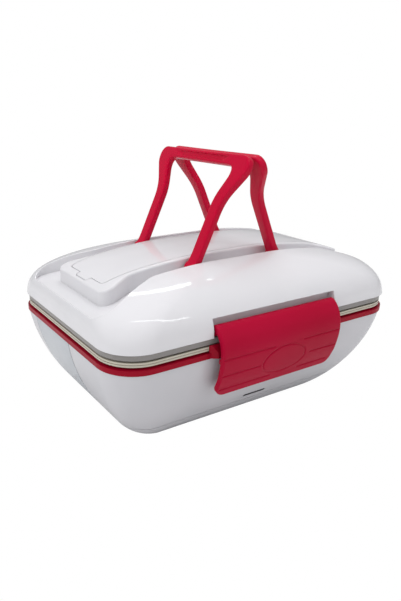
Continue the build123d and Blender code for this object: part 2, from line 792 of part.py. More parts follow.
with BuildPart() as lid_shell:
    add(dome)
    add(lid_void, mode=Mode.SUBTRACT)
    with BuildSketch(Plane.XY.offset(boss_low_z)):
        with GridLocations(2 * lid_screw_x, 2 * lid_screw_y, 2, 2):
            Circle(boss_radius)
    extrude(amount=lid_edge_z - boss_low_z)
    add((upright(channel) - upright(pod)) & above_floor(0), mode=Mode.SUBTRACT)
    rims = []
    for edge in lid_shell.edges(Select.LAST):
        if min((edge @ t).Z - channel_floor((edge @ t).X) for t in (0, 0.5, 1)) > channel_edge_radius:
            rims.append(edge)
    inner_rims = [edge for edge in rims if is_on_pod(edge @ 0.5)]
    fillet([edge for edge in rims if edge not in inner_rims], channel_edge_radius)
    fillet(inner_rims, pod_edge_radius)
    add(compartment, mode=Mode.SUBTRACT)
    add(upright(cover_outline(cover_gap)) - Pos(0, 0, -cover_thickness - running_gap) * dome, mode=Mode.SUBTRACT)
    add(recess, mode=Mode.SUBTRACT)
    add(mirror(recess, about=Plane.XZ, mode=Mode.PRIVATE), mode=Mode.SUBTRACT)
    with BuildSketch(Plane.XY.offset(boss_low_z)):
        with GridLocations(2 * lid_screw_x, 2 * lid_screw_y, 2, 2):
            Circle(screw_radius)
    extrude(amount=lid_screw_top_z - boss_low_z, mode=Mode.SUBTRACT)
    barrel_half = cover_half_width + cover_gap
    add(rod(barrel_room, (barrel_x, -barrel_half, barrel_z), (barrel_x, barrel_half, barrel_z)), mode=Mode.SUBTRACT)
    for side in (-1, 1):
        pin_ys = (side * cover_pin_y, side * (cover_pin_y + cover_pin_length))
        cover_pin_ends = [(barrel_x, y, barrel_z) for y in pin_ys]
        add(rod(cover_pin_radius, *cover_pin_ends), mode=Mode.SUBTRACT)
        clip_pin_ends = [(end * clip_pin_x, side * clip_pivot_y, clip_pivot_z) for end in (-1, 1)]
        add(rod(clip_pin_radius, *clip_pin_ends), mode=Mode.SUBTRACT)
        for x in (-pivot_x, pivot_x):
            handle_pin_ends = [(x, side * y, pivot_z) for y in handle_pin_y]
            add(rod(handle_pin_radius, *handle_pin_ends), mode=Mode.SUBTRACT)
lid_shell.part.label = "lid_shell"
export_step(lid_shell.part, "parts/lid_shell.step")

with BuildPart() as lid_liner:
    add(rounded_block(band_low_z, lid_edge_z, band_inset))
    add(rounded_block(boss_low_z, lid_edge_z, band_inset + liner_rim_width), mode=Mode.SUBTRACT)
    groove = rounded_block(band_low_z, band_low_z + seal_groove, seal_inset)
    add(groove - rounded_block(band_low_z, band_low_z + seal_groove, seal_inset + seal_width), mode=Mode.SUBTRACT)
    with BuildSketch(Plane.XY.offset(band_low_z)):
        with GridLocations(2 * lid_screw_x, 2 * lid_screw_y, 2, 2):
            Circle(screw_radius)
    extrude(amount=liner_plate, mode=Mode.SUBTRACT)
lid_liner.part.label = "lid_liner"
export_step(lid_liner.part, "parts/lid_liner.step")

seal_top_z = band_low_z + seal_groove

with BuildPart() as lid_seal:
    add(rounded_block(seal_top_z - seal_height, seal_top_z, seal_inset))
    add(rounded_block(seal_top_z - seal_height, seal_top_z, seal_inset + seal_width), mode=Mode.SUBTRACT)
lid_seal.part.label = "lid_seal"
export_step(lid_seal.part, "parts/lid_seal.step")

with BuildPart() as lid_screws:
    with BuildSketch(Plane.XY.offset(band_low_z - screw_head_height)):
        with GridLocations(2 * lid_screw_x, 2 * lid_screw_y, 2, 2):
            Circle(screw_head_radius)
    extrude(amount=screw_head_height)
    with BuildSketch(Plane.XY.offset(band_low_z)):
        with GridLocations(2 * lid_screw_x, 2 * lid_screw_y, 2, 2):
            Circle(screw_radius)
    extrude(amount=lid_screw_length)
lid_screws.part.label = "lid_screws"
export_step(lid_screws.part, "parts/lid_screws.step")

spoon_rim_z = compartment_floor_z + spoon_bowl_size[2]
bowl_hollow_size = [half - spoon_thickness for half in spoon_bowl_size]
stem_start_x = spoon_bowl_x + bowl_hollow_size[0]
spoon_outside = Pos(spoon_bowl_x, 0, spoon_rim_z) * scale(Sphere(1), by=spoon_bowl_size)
spoon_hollow = Pos(spoon_bowl_x, 0, spoon_rim_z) * scale(Sphere(1), by=tuple(bowl_hollow_size))
above_rim = box_between(
    (-compartment_half_length, compartment_half_length),
    (-compartment_half_width, compartment_half_width),
    (spoon_rim_z, spoon_rim_z + spoon_bowl_size[2]),
)

with BuildPart() as spoon:
    with BuildSketch(Plane.XZ):
        with BuildLine():
            Polyline(
                (stem_start_x, spoon_rim_z),
                (stem_start_x, spoon_rim_z - spoon_stem_thickness),
                (spoon_stem_end_x, compartment_floor_z),
                (spoon_stem_end_x, compartment_floor_z + spoon_stem_thickness),
                close=True,
            )
        make_face()
    extrude(amount=spoon_stem_half_width, both=True)
    add(spoon_outside)
    add(spoon_hollow, mode=Mode.SUBTRACT)
    add(above_rim, mode=Mode.SUBTRACT)
spoon.part.label = "spoon"
export_step(spoon.part, "parts/spoon.step")

barrel_ends = [(barrel_x, side * cover_half_width, barrel_z) for side in (-1, 1)]
cover_top = upright(cover_outline()) & dome

with BuildPart() as spoon_cover:
    add(cover_top - Pos(0, 0, -cover_thickness) * dome)
    add(rod(barrel_radius, *barrel_ends) & cover_top)
    add(rod(cover_pin_radius + pin_clearance, *barrel_ends), mode=Mode.SUBTRACT)
spoon_cover.part.label = "spoon_cover"
export_step(spoon_cover.part, "parts/spoon_cover.step")

with BuildPart() as cover_pins:
    for side in (-1, 1):
        pin_ys = (side * cover_pin_y, side * (cover_pin_y + cover_pin_length))
        cover_pin_ends = [(barrel_x, y, barrel_z) for y in pin_ys]
        add(rod(cover_pin_radius, *cover_pin_ends))
cover_pins.part.label = "cover_pins"
export_step(cover_pins.part, "parts/cover_pins.step")

# ================================================================ handles, raised as in use

lean_x = sin(radians(handle_lean))
lean_z = cos(radians(handle_lean))
left_handle_plane = Plane(origin=(-pivot_x, 0, pivot_z), x_dir=(0, 1, 0), z_dir=(lean_z, 0, -lean_x))
outer_contour = [
    (leg_outer_y, 0),
    (leg_outer_y, leg_bend_s),
    (top_outer_y, outer_bend_s),
    (top_outer_y, handle_length),
]
inner_contour = [
    (leg_inner_y, 0),
    (leg_inner_y, leg_bend_s),
    (top_inner_y, inner_bend_s),
    (top_inner_y, handle_length - crossbar_width),
]
handle_contour = outer_contour + [(-y, s) for y, s in reversed(outer_contour)]
handle_contour += [(-y, s) for y, s in inner_contour] + list(reversed(inner_contour))
handle_fillets = [
    (leg_outer_y, leg_bend_s, leg_bend_radius),
    (leg_inner_y, leg_bend_s, leg_bend_radius),
    (top_outer_y, outer_bend_s, shoulder_radius),
    (top_inner_y, inner_bend_s, shoulder_radius),
    (top_outer_y, handle_length, handle_corner_radius),
    (top_inner_y, handle_length - crossbar_width, window_corner_radius),
]


with BuildPart() as handle_left:
    with BuildSketch(left_handle_plane) as handle_face:
        with BuildLine():
            Polyline(*handle_contour, close=True)
        make_face()
        for y, s, radius in handle_fillets:
            corners = handle_face.vertices().filter_by(lambda v: abs(abs(v.X) - y) + abs(v.Y - s) < handle_edge)
            fillet(corners, radius)
    extrude(amount=handle_thickness / 2, both=True)
    across = Axis(origin=left_handle_plane.origin, direction=left_handle_plane.z_dir)
    broad_faces = handle_left.faces().sort_by(across)
    fillet(broad_faces[0].edges() + broad_faces[-1].edges(), handle_edge)
    for side in (-1, 1):
        knuckle_ends = [(-pivot_x, side * y, pivot_z) for y in (leg_inner_y, leg_outer_y)]
        add(rod(knuckle_radius, *knuckle_ends))
        add(rod(handle_pin_radius + pin_clearance, *knuckle_ends), mode=Mode.SUBTRACT)
handle_left.part.label = "handle_left"
export_step(handle_left.part, "parts/handle_left.step")

with BuildPart() as handle_right:
    mirror(handle_left.part, about=Plane.YZ)
handle_right.part.label = "handle_right"
export_step(handle_right.part, "parts/handle_right.step")

with BuildPart() as handle_pins:
    for side in (-1, 1):
        for x in (-pivot_x, pivot_x):
            handle_pin_ends = [(x, side * y, pivot_z) for y in handle_pin_y]
            add(rod(handle_pin_radius, *handle_pin_ends))
handle_pins.part.label = "handle_pins"
export_step(handle_pins.part, "parts/handle_pins.step")

# ================================================================ clips, closed

clip_inside = []
for i in range(len(clip_outside)):
    before = clip_outside[max(i - 1, 0)]
    after = clip_outside[min(i + 1, len(clip_outside) - 1)]
    step = (after[0] - before[0], after[1] - before[1])
    share = clip_thickness / hypot(*step)
    clip_inside.append((clip_outside[i][0] + step[1] * share, clip_outside[i][1] - step[0] * share))
clip_side_mid_z = (clip_low_z + clip_top_z) / 2
clip_axis_ends = [(end * clip_half_width, -clip_pivot_y, clip_pivot_z) for end in (-1, 1)]
rib_low_z = clip_rib_z - clip_rib_height / 2
clip_wall_at_rib = half_depth + max(out for out, z in clip_outside) - clip_thickness / 2

with BuildPart() as clip_front:
    with BuildSketch(Plane.YZ):
        with BuildLine():
            outer_edge = Spline(*[(-half_depth - out, z) for out, z in clip_outside])
            inner_edge = Spline(*[(-half_depth - out, z) for out, z in clip_inside])
            Line(outer_edge @ 0, inner_edge @ 0)
            Line(outer_edge @ 1, inner_edge @ 1)
        make_face()
    extrude(amount=clip_half_width, both=True)
    add(rod(clip_barrel_radius, *clip_axis_ends))
    add(box_between(
        (-clip_half_width, clip_half_width),
        (-clip_wall_at_rib, -clip_rib_reach),
        (rib_low_z, rib_low_z + clip_rib_height),
    ))
    with BuildSketch(Plane.XZ):
        with Locations((0, clip_side_mid_z)):
            side_view = Rectangle(2 * clip_half_width, clip_top_z - clip_low_z)
        fillet(side_view.vertices().group_by(Axis.Y)[0], clip_corner_radius)
    extrude(amount=2 * half_depth, both=True, mode=Mode.INTERSECT)
    add(rod(clip_pin_radius + pin_clearance, *clip_axis_ends), mode=Mode.SUBTRACT)
clip_front.part.label = "clip_front"
export_step(clip_front.part, "parts/clip_front.step")

with BuildPart() as clip_rear:
    mirror(clip_front.part, about=Plane.XZ)
clip_rear.part.label = "clip_rear"
export_step(clip_rear.part, "parts/clip_rear.step")

with BuildPart() as clip_pins:
    for side in (-1, 1):
        clip_pin_ends = [(end * clip_pin_x, side * clip_pivot_y, clip_pivot_z) for end in (-1, 1)]
        add(rod(clip_pin_radius, *clip_pin_ends))
clip_pins.part.label = "clip_pins"
export_step(clip_pins.part, "parts/clip_pins.step")
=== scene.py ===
import math
import bpy
import bmesh
from mathutils import Matrix, Vector


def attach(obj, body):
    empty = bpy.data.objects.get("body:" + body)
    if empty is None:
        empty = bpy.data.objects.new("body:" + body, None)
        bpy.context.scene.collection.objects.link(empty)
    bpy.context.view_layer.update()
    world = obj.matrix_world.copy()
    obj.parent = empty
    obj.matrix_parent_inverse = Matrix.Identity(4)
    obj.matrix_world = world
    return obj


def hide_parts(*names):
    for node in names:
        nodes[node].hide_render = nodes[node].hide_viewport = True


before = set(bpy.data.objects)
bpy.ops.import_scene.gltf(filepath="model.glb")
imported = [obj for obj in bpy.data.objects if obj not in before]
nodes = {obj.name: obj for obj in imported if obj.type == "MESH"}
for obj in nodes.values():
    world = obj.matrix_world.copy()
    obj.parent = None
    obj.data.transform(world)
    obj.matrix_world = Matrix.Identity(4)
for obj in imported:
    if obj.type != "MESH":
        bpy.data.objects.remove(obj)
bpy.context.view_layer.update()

# Camera of the photograph, from a fit of the box's own measured edges.
camera = {
    "place": (-0.24054, -0.32313, 0.21421),
    "forward": (0.4807, 0.7864, -0.3879),
    "lens": 33.39,
    "shift": (0.0748, 0.0577),
}


def makeCamera(c):
    data = bpy.data.cameras.new("photoCamera")
    data.lens = c["lens"]
    data.sensor_width = 36.0
    data.sensor_fit = "AUTO"
    data.shift_x, data.shift_y = c["shift"]
    data.clip_start = 0.01
    obj = bpy.data.objects.new("photoCamera", data)
    obj.location = c["place"]
    obj.rotation_euler = Vector(c["forward"]).to_track_quat("-Z", "Y").to_euler()
    bpy.context.scene.collection.objects.link(obj)
    bpy.context.scene.camera = obj


makeCamera(camera)
print("camera set")


# A shader socket that can be used in Python expressions.
class Sock:
    def __init__(self, tree, socket):
        self.tree = tree
        self.socket = socket

    def plug(self, node, index, value):
        if isinstance(value, Sock):
            self.tree.links.new(value.socket, node.inputs[index])
        else:
            node.inputs[index].default_value = value

    def math(self, operation, *values):
        node = self.tree.nodes.new("ShaderNodeMath")
        node.operation = operation
        for index, value in enumerate(values):
            self.plug(node, index, value)
        return Sock(self.tree, node.outputs[0])

    def __radd__(self, other): return self.math("ADD", other, self)
    def __sub__(self, other): return self.math("SUBTRACT", self, other)
    def __rsub__(self, other): return self.math("SUBTRACT", other, self)
    def __mul__(self, other): return self.math("MULTIPLY", self, other)

    def smooth(self, low, high):
        easing = {"interpolation_type": "SMOOTHSTEP"}
        return self.node("ShaderNodeMapRange", easing, {0: self, 1: low, 2: high})

    def node(self, kind, settings, inputs, output=0):
        made = self.tree.nodes.new(kind)
        for name, value in settings.items():
            setattr(made, name, value)
        for index, value in inputs.items():
            self.plug(made, index, value)
        return Sock(self.tree, made.outputs[output])

    def mixColours(self, share, first, second):
        return self.node("ShaderNodeMix", {"data_type": "RGBA"}, {0: share, 6: first, 7: second}, 2)


def newMaterial(name, values):
    material = bpy.data.materials.new(name)
    material.use_nodes = True
    tree = material.node_tree
    shader = next(n for n in tree.nodes if n.type == "BSDF_PRINCIPLED")
    for key, value in values.items():
        shader.inputs[key].default_value = value
    place = tree.nodes.new("ShaderNodeTexCoord")
    return material, shader, Sock(tree, place.outputs["Object"])


# A colour as seen on a screen, 0 to 255, made linear.
def rgb(r, g, b):
    linear = [((v / 255 + 0.055) / 1.055) ** 2.4 if v > 10 else v / 255 / 12.92 for v in (r, g, b)]
    return (*linear, 1.0)


# What all the plastics share; lengths are metres.
moulding = {
    "ior": 1.49,
    "coatRoughness": 0.06,
    "cloudScale": 14.0,
    "cloudSpan": (0.35, 0.75),
    "roughnessSpread": 0.08,
    "grainScale": 9000.0,
    "grainStrength": 0.12,
    "grainDepth": 0.000004,
    "softEdge": 0.0005,
}


def plastic(name, look, shadeLines=None):
    material, shader, place = newMaterial(name, {
        "Coat Weight": look.get("coat", 0.0),
        "Coat Roughness": moulding["coatRoughness"],
        "IOR": moulding["ior"],
        "Specular IOR Level": look.get("specular", 0.5),
    })
    cloudInputs = {"Vector": place, "Scale": moulding["cloudScale"], "Detail": 3.0}
    cloud = place.node("ShaderNodeTexNoise", {}, cloudInputs)
    colour = place.mixColours(cloud.smooth(*moulding["cloudSpan"]), look["colour"], look["darker"])
    grainInputs = {"Vector": place, "Scale": moulding["grainScale"], "Detail": 2.0}
    height = place.node("ShaderNodeTexNoise", {}, grainInputs)
    # Optional lines paint shade into a gap: a darker colour and a slight groove.
    if shadeLines:
        shadeMark = shadeLines(place)
        colour = place.mixColours(shadeMark, colour, look["line"])
        height = height - shadeMark * look["lineDepth"]
    place.plug(shader, "Base Color", colour)
    place.plug(shader, "Roughness", look["roughness"] + (cloud - 0.5) * moulding["roughnessSpread"])
    bumpInputs = {
        "Strength": moulding["grainStrength"],
        "Distance": look.get("bump", moulding["grainDepth"]),
        "Height": height,
        "Normal": place.node("ShaderNodeBevel", {"samples": 6}, {"Radius": moulding["softEdge"]}),
    }
    place.plug(shader, "Normal", place.node("ShaderNodeBump", {}, bumpInputs))
    return material


# A line across the piece where its place on one axis is near a value, all in metres; it masks a painted shade
# line.
def lineAt(axis, at, halfWidth):
    def shadeMark(place):
        offset = place.node("ShaderNodeSeparateXYZ", {}, {"Vector": place}, axis) - at
        return 1.0 - offset.math("ABSOLUTE", offset).smooth(halfWidth * 0.5, halfWidth)

    return shadeMark


looks = {
    "white": {
        "colour": rgb(229, 228, 231), "darker": rgb(224, 224, 227),
        "roughness": 0.35, "coat": 1.0, "specular": 0.1,
    },
    "whiteBase": {
        "colour": rgb(211, 210, 214), "darker": rgb(206, 206, 210),
        "roughness": 0.35, "coat": 0.6, "specular": 0.1,
    },
    "red": {
        "colour": rgb(178, 3, 50), "darker": rgb(170, 2, 45),
        "roughness": 0.4, "bump": 0.000012, "specular": 0.12,
    },
    "redHandle": {
        "colour": rgb(198, 2, 52), "darker": rgb(192, 1, 47), "roughness": 0.26, "specular": 0.16,
    },
    "redTub": {"colour": rgb(160, 6, 38), "darker": rgb(152, 5, 34), "roughness": 0.34, "specular": 0.12},
    "grey": {"colour": rgb(144, 141, 138), "darker": rgb(138, 135, 132), "roughness": 0.36, "coat": 0.1},
    "panel": {
        "colour": rgb(187, 192, 198), "darker": rgb(182, 188, 194), "roughness": 0.24, "coat": 0.2,
        # The line colour is painted shade for the gap at the panel's near edge.
        "line": rgb(120, 126, 132), "lineDepth": 6.0,
    },
    "black": {"colour": rgb(26, 26, 27), "darker": rgb(22, 22, 23), "roughness": 0.4},
    "lens": {"colour": rgb(20, 16, 18), "darker": rgb(16, 13, 15), "roughness": 0.4, "specular": 0.1},
    "rubber": {"colour": rgb(86, 86, 86), "darker": rgb(78, 78, 78), "roughness": 0.7, "bump": 0.00002},
    "seal": {"colour": rgb(92, 82, 76), "darker": rgb(84, 75, 70), "roughness": 0.5},
    "board": {"colour": rgb(30, 96, 58), "darker": rgb(26, 86, 50), "roughness": 0.45},
    "wire": {"colour": rgb(214, 210, 198), "darker": rgb(206, 201, 188), "roughness": 0.5},
}
# The panel's line is painted shade: a dark line where the gap at the near edge of the end panel falls in
# shade, with a slight groove.
panelSeamShade = {"axis": 1, "at": -0.013, "halfWidth": 0.0006}    # the near edge of the end panel
seamShades = {"panel": lineAt(**panelSeamShade)}
made = {name: plastic(name, look, seamShades.get(name)) for name, look in looks.items()}


brush = {"stretch": (40.0, 900.0, 900.0), "shade": rgb(176, 172, 164), "roughnessSpread": 0.15}


def metal(name, colour, roughness, grain):
    material, shader, place = newMaterial(name, {"Metallic": 1.0})
    brushed = place.node("ShaderNodeMapping", {}, {"Vector": place, "Scale": brush["stretch"]})
    streak = place.node("ShaderNodeTexNoise", {}, {"Vector": brushed, "Scale": grain, "Detail": 2.0})
    place.plug(shader, "Base Color", place.mixColours(streak, colour, brush["shade"]))
    place.plug(shader, "Roughness", roughness + (streak - 0.5) * brush["roughnessSpread"])
    return material


# The food container is bare steel below its pale rim, which starts at rimZ metres.
container = {
    "steel": rgb(206, 203, 198),
    "rim": rgb(200, 194, 178),
    "rimZ": 0.0754,
    "rimFade": 0.0006,
    "rimMetalDrop": 0.85,
    "cloudScale": 30.0,
    "roughness": 0.3,
    "roughnessSpread": 0.12,
}


def containerSteel(name, c):
    material, shader, place = newMaterial(name, {})
    height = place.node("ShaderNodeSeparateXYZ", {}, {"Vector": place}, 2)
    above = height.smooth(c["rimZ"] - c["rimFade"], c["rimZ"])
    cloud = place.node("ShaderNodeTexNoise", {}, {"Vector": place, "Scale": c["cloudScale"], "Detail": 3.0})
    place.plug(shader, "Base Color", place.mixColours(above, c["steel"], c["rim"]))
    place.plug(shader, "Metallic", 1.0 - above * c["rimMetalDrop"])
    place.plug(shader, "Roughness", c["roughness"] + (cloud - 0.5) * c["roughnessSpread"])
    return material


made["container"] = containerSteel("containerSteel", container)
made["steel"] = metal("steel", rgb(208, 204, 196), 0.3, 3.0)
made["aluminium"] = metal("aluminium", rgb(222, 222, 222), 0.4, 2.0)
made["brass"] = metal("brass", rgb(214, 178, 98), 0.3, 2.0)

finish = {
    "base_shell": "whiteBase", "bottom_cover": "whiteBase", "lid_shell": "white", "spoon_cover": "white",
    "end_panel": "panel", "heater_tub": "redTub", "lid_liner": "grey", "lid_seal": "seal",
    "food_container": "container", "power_inlet": "black", "indicator_lens": "lens", "feet": "rubber",
    "handle_left": "redHandle", "handle_right": "redHandle", "clip_front": "red", "clip_rear": "red",
    "heating_plate": "aluminium", "ptc_heaters": "aluminium", "inlet_pins": "brass", "thermostat": "black",
    "indicator_board": "board", "mains_wires": "wire",
}
for name, obj in nodes.items():
    material = made[finish.get(name, "steel")]
    for slotIndex in range(len(obj.material_slots)):
        obj.material_slots[slotIndex].material = material
print("materials set")


# A smooth curve through the points, with so many steps between two of them.
def curveThrough(points, steps):
    curve = []
    for index in range(len(points) - 1):
        a, b = Vector(points[index]), Vector(points[index + 1])
        before = Vector(points[index - 1]) if index else a
        after = Vector(points[index + 2]) if index + 2 < len(points) else b
        for step in range(steps):
            t = step / steps
            curve.append(
                a * (2 * t**3 - 3 * t**2 + 1) + b * (3 * t**2 - 2 * t**3)
                + (b - before) * 0.5 * (t**3 - 2 * t**2 + t) + (after - a) * 0.5 * (t**3 - t**2)
            )
    return curve + [Vector(points[-1])]


# Place and direction at a distance along a curve.
def walk(curve, distance):
    for a, b in zip(curve, curve[1:]):
        piece = (b - a).length
        if distance <= piece or b is curve[-1]:
            return a + (b - a) * (distance / piece), (b - a).normalized()
        distance -= piece


# A pipe with an outer and an inner radius.
def addTube(shape, start, end, outer, inner, sides=40):
    axis = (Vector(end) - Vector(start)).normalized()
    across = axis.orthogonal().normalized()
    other = axis.cross(across)
    rings = []
    for place, radius in ((start, outer), (end, outer), (end, inner), (start, inner)):
        turns = [2 * math.pi * k / sides for k in range(sides)]
        rims = [(across * math.cos(a) + other * math.sin(a)) * radius for a in turns]
        rings.append([shape.verts.new(Vector(place) + rim) for rim in rims])
    for k in range(len(rings)):
        for j in range(sides):
            near, far = rings[k], rings[(k + 1) % len(rings)]
            shape.faces.new((near[j], near[(j + 1) % sides], far[(j + 1) % sides], far[j]))


metresPerMillimetre = 0.001
sharpFrom = math.radians(40)


# Turns a shape in millimetres into a piece that takes a node's place and rides on its body.
def finishMesh(shape, name, material, body, node):
    bmesh.ops.recalc_face_normals(shape, faces=shape.faces)
    bmesh.ops.scale(shape, vec=(metresPerMillimetre,) * 3, verts=shape.verts)
    for face in shape.faces:
        face.smooth = True
    for edge in shape.edges:
        edge.smooth = edge.calc_face_angle(0.0) < sharpFrom
    mesh = bpy.data.meshes.new(name)
    shape.to_mesh(mesh)
    shape.free()
    mesh.materials.append(material)
    obj = bpy.data.objects.new(name, mesh)
    bpy.context.scene.collection.objects.link(obj)
    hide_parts(node)
    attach(obj, body)


# Lengths in this dictionary and the next are millimetres. The outside is (y past sideY, z) from top to bottom.
# A groove is (distance down from the top edge, first x, last x); the oval is (x, distance down, half axes);
# the barrel is (y, z, radius, bore) and the rib (lowest z, highest z, nearest y, farthest y).
clip = {
    "outside": [
        (-3.0, 91.0), (0.0, 90.4), (3.1, 88.0), (6.5, 83.0), (8.3, 77.0),
        (8.7, 71.5), (8.1, 65.0), (6.1, 56.0), (3.5, 49.5), (1.7, 43.5),
    ],
    "sideY": 80.5,
    "halfWidth": 50.0,
    "thickness": 3.0,
    "corner": 7.0,
    "edgeRound": 1.0,
    "rowStep": 0.36,
    "columnStep": 0.5,
    "outlineSteps": 40,
    "cornerSteps": 30,
    "edgeBand": 1.0,
    "edgeOffsets": (0.0, 0.05, 0.2, 0.5),
    "grooves": [
        (25.1, -49.0, -9.3), (25.1, 16.0, 48.6), (36.7, -48.6, -19.3),
        (36.7, 24.0, 48.6), (48.4, -48.0, -7.3), (48.4, 17.4, 44.0),
    ],
    "grooveHalfWidth": 0.7,
    "grooveDepth": 0.6,
    "oval": (1.5, 36.6, 18.0, 10.5),
    "barrel": (78.0, 87.0, 3.0, 1.08),
    "barrelInset": 0.05,
    "rib": (67.0, 70.0, 83.4, 87.4),
    "ribInset": 1.2,
}


# How deep a round groove is at a share of its half width.
def grooveShape(away):
    return math.cos(away * math.pi / 2) if away < 1 else 0.0


# How far the clip's outside lies under its outline at x and s, the distance down from its top edge.
def clipDepth(c, x, s, total):
    deep = 0.0
    for at, first, last in c["grooves"]:
        deep = max(deep, grooveShape(math.hypot(s - at, max(first - x, x - last, 0.0)) / c["grooveHalfWidth"]))
    middle, at, a, b = c["oval"]
    tiny = 1e-6
    k = math.hypot((x - middle) / a, (s - at) / b)
    slope = math.hypot((x - middle) / a**2, (s - at) / b**2) / max(k, tiny)
    deep = max(deep, grooveShape(abs(k - 1) / max(slope, tiny) / c["grooveHalfWidth"])) * c["grooveDepth"]
    cornerX = abs(x) - (c["halfWidth"] - c["corner"])
    cornerS = s - (total - c["corner"])
    edge = min(c["halfWidth"] - abs(x), total - s, s)
    if cornerX > 0 and cornerS > 0:
        edge = c["corner"] - math.hypot(cornerX, cornerS)
    r = c["edgeRound"]
    short = r - min(max(edge, 0.0), r)
    return deep + r - math.sqrt(r * r - short * short)


# Each row is (distance down, half width there).
def clipRows(c, total):
    width, corner, band = c["halfWidth"], c["corner"], c["edgeBand"]
    straight = total - corner
    count = int((straight - band) / c["rowStep"])
    rows = [(s, width) for s in c["edgeOffsets"]]
    rows += [(band + (straight - band) * k / count, width) for k in range(count)]
    for k in range(c["cornerSteps"] + 1):
        turn = math.pi / 2 * k / c["cornerSteps"]
        rows.append((straight + corner * math.sin(turn), width - corner * (1 - math.cos(turn))))
    return rows


# Each column is a share of the half width, from -1 to 1.
def clipColumns(c):
    width, band = c["halfWidth"], c["edgeBand"]
    half = int((width - band) / c["columnStep"])
    right = [(width - band) * k / half for k in range(half + 1)]
    right += [width - e for e in reversed(c["edgeOffsets"])]
    return [-x / width for x in reversed(right[1:])] + [x / width for x in right]


def makeClip(c, name, side, node):
    curve = curveThrough(c["outside"], c["outlineSteps"])
    total = sum((b - a).length for a, b in zip(curve, curve[1:]))
    rows, columns = clipRows(c, total), clipColumns(c)
    shape = bmesh.new()
    outer, inner = [], []
    for number, (s, width) in enumerate(rows):
        (out, z), (dOut, dZ) = walk(curve, s)
        outward = Vector((0, side * -dZ, dOut))
        base = Vector((0, side * (c["sideY"] + out), z))
        line = []
        for share in columns:
            x = share * width
            line.append(shape.verts.new(base + Vector((x, 0, 0)) - outward * clipDepth(c, x, s, total)))
        outer.append(line)
        back = columns if number in (0, len(rows) - 1) else (columns[0], columns[-1])
        inside = base - outward * c["thickness"]
        inner.append([shape.verts.new(inside + Vector((share * width, 0, 0))) for share in back])
    for a, b in zip(outer, outer[1:]):
        for j in range(len(columns) - 1):
            shape.faces.new((a[j], a[j + 1], b[j + 1], b[j]))
    for a, b, p, q in zip(outer, outer[1:], inner, inner[1:]):
        shape.faces.new((a[0], b[0], q[0], p[0]))
        shape.faces.new((a[-1], b[-1], q[-1], p[-1]))
        shape.faces.new(p + list(reversed(q)))
    for a, p in ((outer[0], inner[0]), (outer[-1], inner[-1])):
        for j in range(len(columns) - 1):
            shape.faces.new((a[j], a[j + 1], p[j + 1], p[j]))
    barrelY, barrelZ, outerRadius, bore = c["barrel"]
    barrelHalf = c["halfWidth"] - c["barrelInset"]
    ends = [(x, side * barrelY, barrelZ) for x in (-barrelHalf, barrelHalf)]
    addTube(shape, ends[0], ends[1], outerRadius, bore)
    lowZ, highZ, nearY, farY = c["rib"]
    place = Vector((0, side * (nearY + farY) / 2, (lowZ + highZ) / 2))
    ribSize = (2 * c["halfWidth"] - 2 * c["ribInset"], farY - nearY, highZ - lowZ)
    ribCorners = bmesh.ops.create_cube(shape, size=1.0)["verts"]
    bmesh.ops.scale(shape, vec=ribSize, verts=ribCorners)
    bmesh.ops.translate(shape, vec=place, verts=ribCorners)
    finishMesh(shape, name, made["red"], node, node)


makeClip(clip, "frontClipSkin", -1, "clip_front")
makeClip(clip, "rearClipSkin", 1, "clip_rear")
print("clips made")

# The pivot is (x, z). The contours are (y, distance up from the pivot), from a foot to the crossbar's middle.
handle = {
    "pivot": (34.962, 112.9),
    "lean": 24.8,
    "length": 76.438,
    "thickness": 5.0,
    "outer": [(38.0, 2.2), (38.0, 46.438), (50.7, 66.0), (50.7, 76.438), (0.0, 76.438)],
    "inner": [(29.2, 2.2), (29.2, 46.438), (36.0, 62.438), (36.0, 69.1), (0.0, 69.1)],
    "outerRounding": [30.0, 11.0, 6.5],
    "innerRounding": [30.0, 11.0, 4.0],
    "edgeRound": 1.3,
    "edgeTurns": (0.0, 0.4, 0.8, 1.2, math.pi / 2),
    "footFlare": 1.5,
    "footHeight": 9.0,
    "grooveDepth": 0.9,
    "grooveSpan": (0.3, 0.66),
    "grooveWall": 0.06,
    "grooveReach": 33.0,
    "grooveFade": 6.0,
    "topBand": 0.5,
    "knuckle": (4.0, 1.58),
    "knuckleInset": 0.02,
}


# A line through the points with its corners rounded; steps for a bend, a straight run and the last run.
def roundedPath(points, radii, steps=14, straight=10, last=24):
    path = []
    here = Vector(points[0])
    for index, radius in enumerate(radii):
        a, corner, b = (Vector(points[index + k]) for k in range(3))
        into, away = (corner - a).normalized(), (b - corner).normalized()
        turn = into.angle(away)
        reach = radius * math.tan(turn / 2)
        start, end = corner - into * reach, corner + away * reach
        path += [here.lerp(start, k / straight) for k in range(straight)]
        side = Vector((-into.y, into.x))
        side = side if side.dot(away) > 0 else -side
        centre = start + side * radius
        for k in range(steps):
            angle = turn * k / steps
            path.append(centre - side * radius * math.cos(angle) + into * radius * math.sin(angle))
        here = end
    return path + [here.lerp(Vector(points[-1]), k / last) for k in range(last + 1)]


# The section's front, across the bar: (share of its width, height over its middle).
def handleFront(h, a, width, edgeSteps):
    half = h["thickness"] / 2
    flare = h["footFlare"] * max(0.0, 1 - a.y / h["footHeight"]) ** 2
    onCrossbar = a.y > h["length"] - h["topBand"]
    fade = min(1.0, max(0.0, (h["grooveReach"] - abs(a.x)) / h["grooveFade"])) if onCrossbar else 0.0
    low, high = h["grooveSpan"]
    wall = h["grooveWall"]
    front = [(e / width, half - drop + flare) for e, drop in edgeSteps]
    for share, sink in ((low - wall, 0), (low, 1), (high, 1), (high + wall, 0)):
        front.append((share, half - sink * fade * h["grooveDepth"] + flare))
    return front + [(1 - e / width, half - drop + flare) for e, drop in reversed(edgeSteps)]


